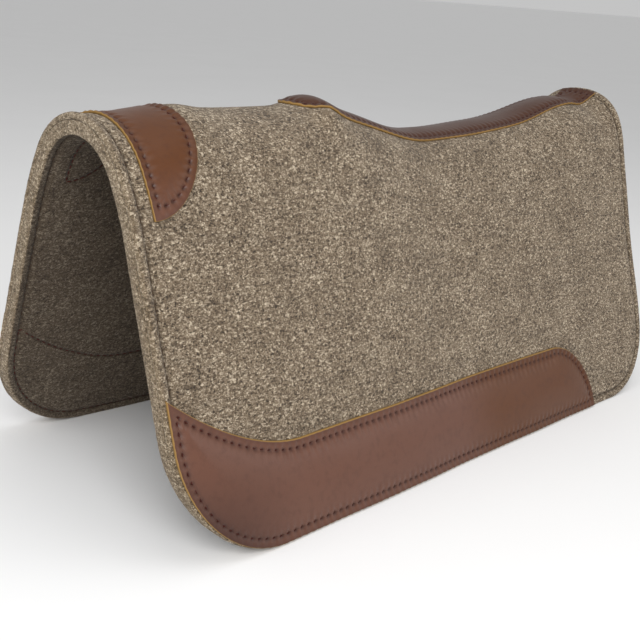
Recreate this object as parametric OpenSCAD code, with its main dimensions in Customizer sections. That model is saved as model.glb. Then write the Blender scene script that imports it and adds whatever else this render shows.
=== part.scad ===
// Contoured felt saddle pad with leather wear patches.
// +Z is up, the wither end faces -Y and the horse's left side is +X. The pad stands on the
// lower edges of its two flaps, and the origin is under the middle of its outline.

/* [Pad] */
// Length along the horse's back
pad_length = 762; // [620:1:920]
// Height of the felt's crown at the wither edge
wither_height = 357; // [300:1:430]
// Fall of the crown from the wither edge to the lowest point of the contour
dip_drop = 30.5; // [10:0.5:50]
// Rise of the crown at the loin edge above the wither edge
loin_rise = 13; // [0:1:40]
// Swell of the crown in front of the loin edge
loin_swell = 6; // [0:0.5:9]
// Distance from the loin edge to the top of that swell
swell_inset = 97; // [80:1:150]
// Reach of the swell along the spine
swell_length = 36; // [25:1:50]
// Distance from the wither edge to the lowest point of the contour
dip_reach = 420; // [370:1:460]
// Length of the fall from the withers to the lowest point of the contour
fall_length = 167; // [120:1:200]
// Slope of each flap away from vertical at the wither edge, in degrees
wither_flare = 19; // [10:0.5:24]
// Slope of each flap away from vertical at the loin edge, in degrees
loin_flare = 15; // [8:0.5:22]
// Extra slope of the flaps at the lowest point of the contour, in degrees
dip_splay = 2; // [0:0.5:4]
// Radius of each flap's lower corner at the wither edge
front_corner = 105; // [60:1:130]
// Radius of each flap's lower corner at the loin edge
rear_corner = 82; // [50:1:120]

/* [Crown] */
// Radius of the crown at the wither edge
crown_front_radius = 78; // [66:1:95]
// Radius of the crown at the loin edge
crown_rear_radius = 72; // [62:1:95]
// Angle that the crown arc turns through on each side
crown_angle = 60; // [52:1:64]
// Radius that joins crown and flap at the wither edge
shoulder_front_radius = 290; // [180:1:340]
// Radius that joins crown and flap at the loin edge
shoulder_rear_radius = 110; // [90:1:200]

/* [Felt] */
// Thickness of the felt layer that lies on the horse
base_thickness = 12.7; // [8:0.1:19]
// Thickness of the felt layer that carries the saddle
top_thickness = 6.35; // [4:0.05:10]
// Film of glue between the two felt layers
glue_gap = 0.2; // [0.1:0.05:0.5]
// Distance from the wither edge to the end of the dart cut in the spine
dart_reach = 262; // [240:1:320]
// Width of the dart seam between the two cut edges
dart_gap = 0.8; // [0.5:0.1:2]
// Height of the pucker where the dart ends
pucker_height = 8; // [0:0.5:14]
// Reach of the pucker along the spine
pucker_length = 17; // [12:1:24]
// Reach of the pucker down each side
pucker_width = 38; // [30:1:60]

/* [Leather] */
// Thickness of every leather patch
leather_thickness = 2.6; // [1.5:0.1:3.5]
// Distance from the wither edge to the wither patch
wither_patch_inset = 20; // [12:1:24]
// Length of the wither patch along the spine
wither_patch_length = 67; // [50:1:95]
// Girth from the spine to each tip of the wither patch
wither_patch_drop = 124; // [100:1:150]
// Girth over which the wither patch keeps its full length
wither_patch_flat = 25; // [10:1:40]
// Distance from the wither edge to the spine strip
strip_start = 234; // [220:1:250]
// Length of the rounded nose of the spine strip
strip_nose = 50; // [30:1:80]
// Distance from the loin edge to the spine strip
strip_end_inset = 8; // [6:1:30]
// Half width of the spine strip at its wither end
strip_front_half = 38; // [28:1:46]
// Half width of the spine strip at its loin end
strip_rear_half = 25; // [18:1:34]
// Height of each wear patch's upper edge above the floor
wear_height = 84; // [60:1:110]
// Extra height of the wear patch at the wither edge
wear_rise = 62; // [20:1:75]
// Length of the stretch in which the wear patch rises to the wither edge
wear_rise_length = 140; // [100:1:200]
// Distance from the loin edge to the wear patch
wear_end_inset = 127; // [110:1:280]
// Length of the rounded end of the wear patch
wear_end_round = 78; // [40:1:120]
// Distance of the wear patch inside the felt's edge
wear_edge_inset = 2; // [1.5:0.5:6]

/* [Stitching] */
// Distance of the edge seam inside the felt's edge
edge_seam_inset = 9; // [6:0.5:11]
// Distance of every leather seam inside the leather's edge
leather_seam_inset = 7; // [5:0.5:9]
// Distance from one stitch of a leather seam to the next
stitch_pitch = 8.5; // [6:0.5:12]
// Distance from one stitch of the edge seam to the next
edge_stitch_pitch = 12; // [6:0.5:16]
// Thread showing in each stitch
stitch_length = 4.6; // [3:0.1:5.5]
// Diameter of the sewing thread
thread_diameter = 0.9; // [0.6:0.1:1.4]
// Half width of the zigzag seam that closes the dart
zigzag_half = 5; // [3:0.5:8]

/* [Hidden] */

seat_gap = 0.4;          // room between a patch and the felt under it
thread_gap = 0.15;       // room between a stitch and what it lies on
thread_sides = 4;
crown_steps = 8;         // facets of the felt's crown arc on each side
shoulder_steps = 2;      // facets of its shoulder arc
flap_steps = 4;          // facets of its flap
corner_steps = 6;        // facets of each lower corner
station_gap = 28;        // spacing of the cross-sections away from the dart's end
pucker_station_gap = 9;  // spacing of the cross-sections at the dart's end
pucker_spreads = 3.2;    // the close stations cover this many pucker lengths
least_gap = 2;           // two stations are never closer than this
patch_step = 7;          // spacing of the grid across the leather patches
tip_room = 1;            // width left at a patch's sharp tips
wear_rise_power = 1.85;  // how sharply a wear patch rises to the wither edge
slope_draw = 1.15;       // seam insets under a wear patch's sloping upper edge
tip_draw = 1.6;          // seam insets at the wither patch's tips
patch_clearance = 4;     // from a patch's edge to the first stitch of the edge seam
facet_room = 0.25;       // a facet of the felt may lie this far inside its true curve
strip_room = 0.4;        // the spine strip's facets stand this far proud of theirs

felt_thickness = top_thickness + glue_gap + base_thickness;
dip_height = wither_height - dip_drop;
loin_height = wither_height + loin_rise;
wear_length = pad_length - wear_end_inset;
degrees_per_radian = 180 / PI;

function lerp(a, b, t) = a + (b - a) * t;
function clamp01(t) = min(1, max(0, t));
function ease(t) = t * t * (3 - 2 * t);
function share(y) = clamp01(y / pad_length);
function bell(v, width) = exp(-(v / width) * (v / width) / 2);

// Cross-section of the outer surface at distance y from the wither edge: a crown arc, a
// shoulder arc and a straight flap, all measured by the angle of the outward normal from +Z.
function crown_z(y) = y < dip_reach
    ? lerp(wither_height, dip_height, ease(clamp01(1 - (dip_reach - y) / fall_length)))
    : lerp(dip_height, loin_height, pow((y - dip_reach) / (pad_length - dip_reach), 2))
      + loin_swell * bell(pad_length - swell_inset - y, swell_length);
function crown_r(y) = lerp(crown_front_radius, crown_rear_radius, share(y));
function shoulder_r(y) = lerp(shoulder_front_radius, shoulder_rear_radius, share(y));
function sag(y) = lerp(wither_height, loin_height, share(y)) - crown_z(y);
function flap_angle(y) =
    90 - lerp(wither_flare, loin_flare, share(y)) - dip_splay * sag(y) / sag(dip_reach);

// Girth from the spine to the end of the crown arc, and to the end of the shoulder arc
function crown_girth(y) = crown_r(y) * crown_angle / degrees_per_radian;
function shoulder_girth(y) =
    crown_girth(y) + shoulder_r(y) * (flap_angle(y) - crown_angle) / degrees_per_radian;

// Centre-line to surface, and floor to surface, where the normal has the angle phi
function arc_x(y, depth, phi) = phi <= crown_angle
    ? (crown_r(y) - depth) * sin(phi)
    : (crown_r(y) - shoulder_r(y)) * sin(crown_angle) + (shoulder_r(y) - depth) * sin(phi);
function arc_z(y, depth, phi) = crown_z(y) - crown_r(y) + (phi <= crown_angle
    ? (crown_r(y) - depth) * cos(phi)
    : (crown_r(y) - shoulder_r(y)) * cos(crown_angle) + (shoulder_r(y) - depth) * cos(phi));
function normal_angle(y, girth) = girth < crown_girth(y)
    ? girth / crown_r(y) * degrees_per_radian
    : min(flap_angle(y),
          crown_angle + (girth - crown_girth(y)) / shoulder_r(y) * degrees_per_radian);

// The felt puckers up a little where the dart ends
function pucker(y, girth) =
    pucker_height * bell(y - dart_reach, pucker_length) * bell(girth, pucker_width);

// Point at a signed girth from the spine, at a depth inside the outer surface
function skin(y, girth, depth) =
    let (a = abs(girth), phi = normal_angle(y, a), run = max(0, a - shoulder_girth(y)),
         inside = depth - pucker(y, a))
    [sign(girth) * (arc_x(y, inside, phi) + run * cos(phi)),
     y - pad_length / 2,
     arc_z(y, inside, phi) - run * sin(phi)];

// Girth at which the surface at that depth reaches the height z
function girth_at(y, z, depth) =
    shoulder_girth(y) + (arc_z(y, depth, flap_angle(y)) - z) / sin(flap_angle(y));

// Height of the felt's lower edge: the floor, with a rounded corner at each end
function corner_rise(radius, reach) =
    reach >= radius ? 0 : radius - sqrt(max(0, radius * radius - pow(radius - reach, 2)));
function hem_z(y) = corner_rise(front_corner, y) + corner_rise(rear_corner, pad_length - y);

// Cross-section stations from the wither edge to the loin edge
function spaced(from, to, gap) =
    let (n = max(1, ceil((to - from) / gap))) [for (i = [0:n - 1]) lerp(from, to, i / n)];
pucker_reach = pucker_spreads * pucker_length;
stations = concat(
    [for (i = [0:corner_steps - 1]) front_corner * (1 - cos(90 * i / corner_steps))],
    spaced(front_corner, dart_reach - pucker_reach, station_gap),
    spaced(dart_reach - pucker_reach, dart_reach, pucker_station_gap),
    spaced(dart_reach, dart_reach + pucker_reach, pucker_station_gap),
    spaced(dart_reach + pucker_reach, pad_length - rear_corner, station_gap),
    [for (i = [0:corner_steps]) pad_length - rear_corner * (1 - sin(90 * i / corner_steps))]);
dart_station = len([for (y = stations) if (y < dart_reach - least_gap) y]);

// Girths of one side's grid lines at a station, from the spine to the lower edge
function grid_girths(y, depth) =
    let (a = crown_girth(y), b = shoulder_girth(y), c = girth_at(y, hem_z(y), depth))
    concat([for (i = [0:crown_steps - 1]) a * i / crown_steps],
           [for (i = [0:shoulder_steps - 1]) lerp(a, b, i / shoulder_steps)],
           [for (i = [0:flap_steps]) lerp(b, c, i / flap_steps)]);
side_steps = crown_steps + shoulder_steps + flap_steps;

function half_grid(depth, side) =
    [for (j = [0:len(stations) - 1])
        let (y = stations[j], g = grid_girths(y, depth), cut = j > dart_station ? dart_gap / 2 : 0)
        for (i = [0:side_steps]) skin(y, side * max(g[i], cut), depth)];

// A felt layer is one piece, cut along the spine from the loin edge to the dart's end. Each
// side is a grid of points, and the two sides share their points in front of the cut.
row = side_steps + 1;
rows = len(stations);
side_points = row * rows;
function grid_index(side, face, j, i) =
    face * 2 * side_points
    + (side == 1 && (i > 0 || j > dart_station) ? side_points : 0) + j * row + i;

// Points round the border of one side, from the dart's end along the cut, the loin edge, the
// lower edge and the wither edge
function border(side) = concat(
    [for (j = [dart_station:rows - 1]) [j, 0]],
    [for (i = [1:side_steps]) [rows - 1, i]],
    [for (j = [rows - 2:-1:0]) [j, side_steps]],
    [for (i = [side_steps - 1:-1:0]) [0, i]]);

function quads(side, face) =
    [for (j = [0:rows - 2]) for (i = [0:side_steps - 1])
        let (a = grid_index(side, face, j, i), b = grid_index(side, face, j, i + 1),
             c = grid_index(side, face, j + 1, i + 1), d = grid_index(side, face, j + 1, i))
        for (t = (side + face) % 2 == 0 ? [[a, b, c], [a, c, d]] : [[a, c, b], [a, d, c]]) t];

function walls(side) =
    let (loop = border(side))
    [for (k = [0:len(loop) - 2])
        let (p = loop[k], q = loop[k + 1],
             a = grid_index(side, 0, p[0], p[1]), b = grid_index(side, 0, q[0], q[1]),
             c = grid_index(side, 1, q[0], q[1]), d = grid_index(side, 1, p[0], p[1]))
        for (t = side == 0 ? [[a, b, c], [a, c, d]] : [[a, c, b], [a, d, c]]) t];

module felt_layer(outer_depth, inner_depth) {
    polyhedron(
        points = concat(half_grid(outer_depth, -1), half_grid(outer_depth, 1),
                        half_grid(inner_depth, -1), half_grid(inner_depth, 1)),
        faces = concat(quads(0, 0), quads(1, 0), quads(0, 1), quads(1, 1), walls(0), walls(1)),
        convexity = 8);
}

// A leather patch is a plate on the felt: rows of [y, girth] points, the same number in each
module patch(grid) {
    n = len(grid);
    m = len(grid[0]);
    plate = n * m;
    depths = [-seat_gap - leather_thickness, -seat_gap];
    loop = concat([for (i = [0:m - 1]) i], [for (j = [1:n - 1]) j * m + m - 1],
                  [for (i = [m - 2:-1:0]) (n - 1) * m + i], [for (j = [n - 2:-1:1]) j * m]);
    polyhedron(
        points = [for (d = depths) for (r = grid) for (p = r) skin(p[0], p[1], d)],
        faces = concat(
            [for (j = [0:n - 2]) for (i = [0:m - 2])
                let (a = j * m + i, b = a + 1, c = b + m, d = a + m)
                for (t = [[a, c, b], [a, d, c], [plate + a, plate + b, plate + c],
                          [plate + a, plate + c, plate + d]]) t],
            [for (k = [0:len(loop) - 1])
                let (a = loop[k], b = loop[(k + 1) % len(loop)])
                for (t = [[a, b, plate + b], [a, plate + b, plate + a]]) t]),
        convexity = 6);
}

// Felt stations inside a stretch, with the stretch's own two ends
function stations_in(from, to) =
    concat([from],
           [for (y = stations) if (y > from + least_gap && y < to - least_gap) y],
           [to]);

// Wither patch: straight wither side, quarter-ellipse corners down to a tip on each flap
function wither_patch_end(girth) =
    let (t = clamp01((abs(girth) - wither_patch_flat) / (wither_patch_drop - wither_patch_flat)))
    wither_patch_inset + max(tip_room, wither_patch_length * sqrt(1 - t * t));
wither_girth_steps = 2 * ceil(wither_patch_drop / patch_step);
wither_length_steps = 6;
function wither_girth(i) = wither_patch_drop * sin(90 * (2 * i / wither_girth_steps - 1));
wither_grid = [for (j = [0:wither_length_steps]) [for (i = [0:wither_girth_steps])
    let (g = wither_girth(i))
    [lerp(wither_patch_inset, wither_patch_end(g), j / wither_length_steps), g]]];

// Spine strip: a long taper over the dart seam, with a rounded nose
strip_end = pad_length - strip_end_inset;
function strip_half(y) = max(tip_room,
    lerp(strip_front_half, strip_rear_half, (y - strip_start) / (strip_end - strip_start))
    * sqrt(1 - pow(1 - clamp01((y - strip_start) / strip_nose), 2)));
strip_steps = 10;
strip_grid = [for (y = stations_in(strip_start, strip_end)) [for (i = [0:strip_steps])
    [y, strip_half(y) * (2 * i / strip_steps - 1)]]];

// Wear patch: upper edge rises to the wither edge and rounds down to the floor at the loin end
function wear_top(y) =
    let (v = 1 - (wear_length - y) / wear_end_round)
    v > 0 ? max(hem_z(y) + wear_edge_inset + tip_room, wear_height * sqrt(max(0, 1 - v * v)))
          : wear_height + wear_rise * pow(clamp01(1 - y / wear_rise_length), wear_rise_power);
function wear_bottom(y, inset = wear_edge_inset) =
    inset + (y < front_corner ? corner_rise(front_corner - inset, y - inset) : 0);
wear_round_steps = 6;
wear_stations = concat(
    stations_in(wear_edge_inset, wear_length - wear_end_round),
    [for (i = [1:wear_round_steps])
        wear_length - wear_end_round * (1 - sin(90 * i / wear_round_steps))]);
wear_steps = 5;
function wear_grid(side) = [for (y = wear_stations) [for (i = [0:wear_steps])
    let (z = lerp(wear_bottom(y), wear_top(y), (side > 0 ? wear_steps - i : i) / wear_steps))
    [y, side * girth_at(y, z, -seat_gap)]]];

// Seams are polylines of [y, girth] points, walked at the stitch pitch
function walk_lengths(path, depth) =
    [for (i = [0:len(path) - 2])
        norm(skin(path[i + 1][0], path[i + 1][1], depth) - skin(path[i][0], path[i][1], depth))];
function sums(v, i = 0, s = 0) = i == len(v) ? [s] : concat([s], sums(v, i + 1, s + v[i]));
function along(path, run, at) =
    let (k = max([for (i = [0:len(run) - 2]) if (run[i] <= at) i]))
    lerp(path[k], path[k + 1], (at - run[k]) / (run[k + 1] - run[k]));

module bar(a, b) {
    v = b - a;
    flat = norm([v[0], v[1]]);
    translate(a)
        rotate([0, atan2(flat, v[2]), atan2(v[1], v[0])])
            cylinder(d = thread_diameter, h = norm(v), $fn = thread_sides);
}

module seam(path, depth, longest_pitch = stitch_pitch) {
    run = sums(walk_lengths(path, depth));
    total = run[len(run) - 1];
    count = ceil(total / longest_pitch);
    pitch = total / count;
    for (k = [0:count - 1]) {
        p = along(path, run, (k + 0.5) * pitch - stitch_length / 2);
        q = along(path, run, (k + 0.5) * pitch + stitch_length / 2);
        bar(skin(p[0], p[1], depth), skin(q[0], q[1], depth));
    }
}

thread_radius = thread_diameter / 2;
on_felt = -thread_gap - thread_radius;
on_leather = -seat_gap - leather_thickness - thread_gap - thread_radius;
on_strip = on_leather - strip_room;
under_felt = felt_thickness + facet_room + thread_gap + thread_radius;

function reversed(v) = [for (i = [len(v) - 1:-1:0]) v[i]];
function across(y, from, to) =
    let (n = ceil(abs(to - from) / patch_step)) [for (i = [0:n]) [y, lerp(from, to, i / n)]];

// Edge seam: a constant distance inside the felt's border. It is open where a leather patch
// covers it, since the patch's own seam goes through both layers there.
function wither_edge_path(depth) =
    let (y = edge_seam_inset, reach = girth_at(y, wear_top(y) + patch_clearance, depth))
    across(y, -reach, reach);
function loin_edge_path(side, depth) =
    let (start = wear_length + patch_clearance, last = pad_length - edge_seam_inset,
         turn = rear_corner - edge_seam_inset,
         corner = [for (i = [0:corner_steps]) last - turn * (1 - sin(90 * i / corner_steps))],
         hem = [for (y = concat([start], [for (y = corner) if (y > start + least_gap) y]))
             [y, side * girth_at(y, edge_seam_inset + corner_rise(turn, last - y), depth)]])
    concat(hem, across(last, hem[len(hem) - 1][1], side * (strip_rear_half + patch_clearance)));

module edge_seam(depth, thread_depth) {
    seam(wither_edge_path(depth), thread_depth, edge_stitch_pitch);
    for (side = [-1, 1]) seam(loin_edge_path(side, depth), thread_depth, edge_stitch_pitch);
}

// Wither seam: the patch's outline, drawn in by the seam inset
function wither_seam() =
    let (inset = leather_seam_inset, drop = wither_patch_drop - tip_draw * inset,
         front = wither_patch_inset + inset,
         back = [for (i = [0:wither_girth_steps])
             let (g = drop * sin(90 * (2 * i / wither_girth_steps - 1)),
                  t = clamp01((abs(g) - wither_patch_flat) / (drop - wither_patch_flat)))
             [front + max(tip_room, (wither_patch_length - 2 * inset) * sqrt(1 - t * t)), g]])
    concat(back, across(front, drop, -drop), [back[0]]);

// Spine seam: the strip's outline, drawn in by the seam inset
function spine_seam() =
    let (inset = leather_seam_inset, lo = strip_start + inset, hi = strip_end - inset,
         ys = stations_in(lo, hi),
         left = [for (y = ys) [y, strip_half(y) - inset]],
         right = [for (y = ys) [y, inset - strip_half(y)]])
    concat(left, across(hi, strip_half(hi) - inset, inset - strip_half(hi)),
           reversed(right), across(lo, inset - strip_half(lo), strip_half(lo) - inset));

// Wear seam: the patch's outline, drawn in by the seam inset
function wear_seam(side, depth) =
    let (inset = leather_seam_inset, lo = wear_edge_inset + inset, hi = wear_length - inset,
         round_start = wear_length - wear_end_round,
         ys = concat(stations_in(lo, round_start),
                     [for (i = [1:wear_round_steps])
                         hi - (wear_end_round - inset) * (1 - sin(90 * i / wear_round_steps))]),
         low = [for (y = ys) [y, wear_bottom(y, lo)]],
         high = [for (y = ys)
             let (v = (y - round_start) / (hi - round_start))
             [y, v > 0 ? max(lo + tip_room, (wear_height - inset) * sqrt(max(0, 1 - v * v)))
                       : wear_top(y) - slope_draw * inset]],
         loop = concat([for (p = low) if (p[1] < high[0][1]) p], reversed(high), [low[0]]))
    [for (p = loop) [p[0], side * girth_at(p[0], p[1], depth)]];

// Dart seam: a zigzag across the cut, on the side that lies on the horse
function dart_path() =
    let (lo = dart_reach + zigzag_half, hi = strip_end - leather_seam_inset - zigzag_half,
         n = floor((hi - lo) / stitch_pitch))
    [for (k = [0:n]) [lerp(lo, hi, k / n), zigzag_half * (k % 2 == 0 ? 1 : -1)]];

module zigzag(depth) {
    path = dart_path();
    for (k = [0:len(path) - 2]) {
        a = skin(path[k][0], path[k][1], depth);
        b = skin(path[k + 1][0], path[k + 1][1], depth);
        trim = (b - a) / norm(b - a) * thread_diameter;
        bar(a + trim, b - trim);
    }
}

module base_felt() { color("#8f8068") felt_layer(top_thickness + glue_gap, felt_thickness); }
module top_felt() { color("#958770") felt_layer(0, top_thickness); }
module wither_leather() { color("#6e4a34") patch(wither_grid); }
module spine_leather() { color("#5d3a22") patch(strip_grid); }
module left_wear_leather() { color("#6e4a3c") patch(wear_grid(1)); }
module right_wear_leather() { color("#6e4a3c") patch(wear_grid(-1)); }
module edge_needle_thread() { color("#3c2a1c") edge_seam(0, on_felt); }
module edge_bobbin_thread() { color("#3c2a1c") edge_seam(felt_thickness, under_felt); }
module wither_needle_thread() { color("#3c1914") seam(wither_seam(), on_leather); }
module wither_bobbin_thread() { color("#3c1914") seam(wither_seam(), under_felt); }
module spine_needle_thread() { color("#3c1914") seam(spine_seam(), on_strip); }
module spine_bobbin_thread() { color("#3c1914") seam(spine_seam(), under_felt); }
module left_wear_needle_thread() { color("#3c1914") seam(wear_seam(1, 0), on_leather); }
module left_wear_bobbin_thread() { color("#3c1914") seam(wear_seam(1, felt_thickness), under_felt); }
module right_wear_needle_thread() { color("#3c1914") seam(wear_seam(-1, 0), on_leather); }
module right_wear_bobbin_thread() { color("#3c1914") seam(wear_seam(-1, felt_thickness), under_felt); }
module dart_seam_thread() { color("#3c1914") zigzag(under_felt); }

base_felt();
top_felt();
wither_leather();
spine_leather();
left_wear_leather();
right_wear_leather();
edge_needle_thread();
edge_bobbin_thread();
wither_needle_thread();
wither_bobbin_thread();
spine_needle_thread();
spine_bobbin_thread();
left_wear_needle_thread();
left_wear_bobbin_thread();
right_wear_needle_thread();
right_wear_bobbin_thread();
dart_seam_thread();
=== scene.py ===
"""Contoured felt saddle pad: two glued felt layers, four leather patches and their sewing."""

import math
from types import SimpleNamespace

import bpy
import numpy as np
from mathutils import Matrix, Vector


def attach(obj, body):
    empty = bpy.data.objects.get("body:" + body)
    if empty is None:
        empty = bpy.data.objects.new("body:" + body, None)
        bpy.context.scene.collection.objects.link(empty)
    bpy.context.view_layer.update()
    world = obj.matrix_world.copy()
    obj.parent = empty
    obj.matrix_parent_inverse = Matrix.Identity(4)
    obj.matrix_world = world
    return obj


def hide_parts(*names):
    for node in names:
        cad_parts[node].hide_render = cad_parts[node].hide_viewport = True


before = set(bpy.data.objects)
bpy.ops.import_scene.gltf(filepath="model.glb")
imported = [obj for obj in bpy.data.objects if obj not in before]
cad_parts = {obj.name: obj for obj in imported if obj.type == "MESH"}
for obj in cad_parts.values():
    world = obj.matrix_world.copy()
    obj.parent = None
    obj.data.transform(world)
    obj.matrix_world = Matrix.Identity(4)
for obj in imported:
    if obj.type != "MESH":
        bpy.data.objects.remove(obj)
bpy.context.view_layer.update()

# ---------------------------------------------------------------- sizes, in metres
# The pad stands on its two lower edges. y runs from the wither edge to the loin edge, girth
# from the spine round to a lower edge (the left side is positive), and depth from the outer
# surface towards the horse.
PAD_LENGTH = 0.762
WITHER_HEIGHT = 0.357
DIP_HEIGHT = 0.3265
LOIN_HEIGHT = 0.370
LOIN_SWELL = 0.006
SWELL_INSET = 0.097
SWELL_LENGTH = 0.036
DIP_REACH = 0.420
FALL_LENGTH = 0.167
WITHER_FLARE = math.radians(19)
LOIN_FLARE = math.radians(15)
DIP_SPLAY = math.radians(2)
FRONT_CORNER = 0.105
REAR_CORNER = 0.082
CROWN_FRONT_RADIUS = 0.078
CROWN_REAR_RADIUS = 0.072
CROWN_ANGLE = math.radians(60)
SHOULDER_FRONT_RADIUS = 0.290
SHOULDER_REAR_RADIUS = 0.110

BASE_THICKNESS = 0.0127
TOP_THICKNESS = 0.00635
GLUE_GAP = 0.0002
FELT_THICKNESS = TOP_THICKNESS + GLUE_GAP + BASE_THICKNESS
DART_REACH = 0.262
DART_SLIT = 0.0011
PUCKER_HEIGHT = 0.008
PUCKER_LENGTH = 0.017
PUCKER_WIDTH = 0.038

LEATHER_THICKNESS = 0.0026
LEATHER_SEAT = 0.0002
WITHER_PATCH_INSET = 0.020
WITHER_PATCH_LENGTH = 0.067
WITHER_PATCH_DROP = 0.124
WITHER_PATCH_FLAT = 0.025
STRIP_START = 0.234
STRIP_NOSE = 0.050
STRIP_END = PAD_LENGTH - 0.008
STRIP_FRONT_HALF = 0.038
STRIP_REAR_HALF = 0.025
WEAR_HEIGHT = 0.084
WEAR_RISE = 0.062
WEAR_RISE_LENGTH = 0.140
WEAR_RISE_POWER = 1.85
WEAR_LENGTH = PAD_LENGTH - 0.127
WEAR_END_ROUND = 0.078
WEAR_EDGE_INSET = 0.002

EDGE_SEAM_INSET = 0.009
LEATHER_SEAM_INSET = 0.007
PATCH_CLEARANCE = 0.004
LEAST_WIDTH = 0.0004
STITCH_PITCH = 0.0085
EDGE_STITCH_PITCH = 0.012
STITCH_LENGTH = 0.0046
THREAD = 0.0013  # the real thread is 0.9 mm; drawn thicker, so that each stitch shows
ZIGZAG_HALF = 0.005
# How many insets a seam keeps from a pointed tip, and from an edge that slopes
TIP_DRAW = 1.6
SLOPE_DRAW = 1.15


# ---------------------------------------------------------------- the pad's surface
def blend(a, b, t):
    return a + (b - a) * t


def ease(t):
    t = np.clip(t, 0, 1)
    return t * t * (3 - 2 * t)


def bell(v, width):
    return np.exp(-0.5 * (v / width) ** 2)


def crown_height(y):
    fall = ease(1 - (DIP_REACH - y) / FALL_LENGTH)
    climb = ((y - DIP_REACH) / (PAD_LENGTH - DIP_REACH)) ** 2
    swell = LOIN_SWELL * bell(PAD_LENGTH - SWELL_INSET - y, SWELL_LENGTH)
    return np.where(
        y < DIP_REACH,
        blend(WITHER_HEIGHT, DIP_HEIGHT, fall),
        blend(DIP_HEIGHT, LOIN_HEIGHT, climb) + swell,
    )


def sag(y):
    return blend(WITHER_HEIGHT, LOIN_HEIGHT, y / PAD_LENGTH) - crown_height(y)


def section(y):
    """The cross-section at y: a crown arc, a shoulder arc and a straight flap."""
    share = np.clip(y / PAD_LENGTH, 0, 1)
    crown = blend(CROWN_FRONT_RADIUS, CROWN_REAR_RADIUS, share)
    shoulder = blend(SHOULDER_FRONT_RADIUS, SHOULDER_REAR_RADIUS, share)
    flare = blend(WITHER_FLARE, LOIN_FLARE, share) + DIP_SPLAY * sag(y) / sag(DIP_REACH)
    flap = math.pi / 2 - flare
    crown_girth = crown * CROWN_ANGLE
    return SimpleNamespace(
        height=crown_height(y),
        crown=crown,
        shoulder=shoulder,
        flap=flap,
        crown_girth=crown_girth,
        shoulder_girth=crown_girth + shoulder * (flap - CROWN_ANGLE),
    )


def strip_half(y):
    share = (y - STRIP_START) / (STRIP_END - STRIP_START)
    nose = 1 - np.clip((y - STRIP_START) / STRIP_NOSE, 0, 1)
    half = blend(STRIP_FRONT_HALF, STRIP_REAR_HALF, share) * np.sqrt(1 - nose**2)
    return np.maximum(half, LEAST_WIDTH)


WAVE_HEIGHT = 0.0007
# Soft rises and hollows of the felt: height, y and its reach, girth and its reach
FORMS = (
    (-0.0050, 0.040, 0.022, 0, 0.055),
    (0.0034, 0.102, 0.014, 0, 0.055),
    (0.0050, 0.256, 0.009, 0.039, 0.009),
    (-0.0085, 0.727, 0.015, 0, 0.040),
    (0.0035, 0.766, 0.014, 0.045, 0.030),
    (0.0035, 0.766, 0.014, -0.045, 0.030),
    (0.0055, 0.762, 0.060, 0.370, 0.090),
    (0.0055, 0.762, 0.060, -0.370, 0.090),
)
VALLEY_DEPTH = 0.0010


def relief(y, girth):
    """How far the felt stands proud: the dart's pucker, soft forms, slow waves."""
    side = np.abs(girth)
    proud = PUCKER_HEIGHT * bell(y - DART_REACH, PUCKER_LENGTH) * bell(side, PUCKER_WIDTH)
    for height, y_at, y_reach, mid_girth, girth_reach in FORMS:
        proud = proud + height * bell(y - y_at, y_reach) * bell(girth - mid_girth, girth_reach)
    under_strip = ease((y - STRIP_START) / STRIP_NOSE) * bell(side, STRIP_REAR_HALF)
    wave = np.sin(y * 27 + 1.3 * np.sin(girth * 19)) + np.sin(girth * 33 + y * 11 + 2)
    wave = wave + 0.6 * np.sin(y * 61 - girth * 47 + 1)
    return proud - VALLEY_DEPTH * under_strip + WAVE_HEIGHT * wave / 2


def skin(y, girth, depth):
    """Points at that depth under the outer surface. On the flaps a point keeps its height."""
    y, girth, depth = np.broadcast_arrays(*(np.asarray(v, float) for v in (y, girth, depth)))
    cut = section(y)
    on_flap = (np.abs(girth) - cut.crown_girth) / (cut.shoulder_girth - cut.crown_girth)
    side = np.abs(girth) - depth * np.clip(on_flap, 0, 1) / np.tan(cut.flap)
    turned = CROWN_ANGLE + (side - cut.crown_girth) / cut.shoulder
    phi = np.where(side < cut.crown_girth, side / cut.crown, np.minimum(cut.flap, turned))
    run = np.maximum(0, side - cut.shoulder_girth)
    inside = depth - relief(y, girth)
    step = cut.crown - cut.shoulder
    in_crown = phi <= CROWN_ANGLE
    radius = np.where(in_crown, cut.crown, cut.shoulder) - inside
    x = radius * np.sin(phi) + np.where(in_crown, 0, step * math.sin(CROWN_ANGLE))
    z = radius * np.cos(phi) + np.where(in_crown, 0, step * math.cos(CROWN_ANGLE))
    x = np.sign(girth) * (x + run * np.cos(phi))
    z = cut.height - cut.crown + z - run * np.sin(phi)
    return np.stack([x, y - PAD_LENGTH / 2, z], axis=-1)


def girth_at(y, z):
    """Girth at which the outer surface of a flap reaches the height z."""
    cut = section(y)
    end_z = cut.height - cut.crown + (cut.crown - cut.shoulder) * math.cos(CROWN_ANGLE)
    end_z = end_z + cut.shoulder * np.cos(cut.flap)
    return cut.shoulder_girth + (end_z - z) / np.sin(cut.flap)


def corner_rise(radius, reach):
    reach = np.minimum(reach, radius)
    return radius - np.sqrt(np.maximum(0, radius**2 - (radius - reach) ** 2))


# ---------------------------------------------------------------- meshes
def make_piece(name, points, faces, material, **attributes):
    """A smooth mesh object at the origin, with one float attribute for each keyword."""
    mesh = bpy.data.meshes.new(name)
    mesh.from_pydata(np.asarray(points).tolist(), [], faces)
    mesh.materials.append(material)
    for key, values in attributes.items():
        layer = mesh.attributes.new(key, "FLOAT", "POINT")
        layer.data.foreach_set("value", np.asarray(values, np.float32).ravel())
    mesh.shade_smooth()
    mesh.update()
    piece = bpy.data.objects.new(name, mesh)
    bpy.context.scene.collection.objects.link(piece)
    return piece


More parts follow.
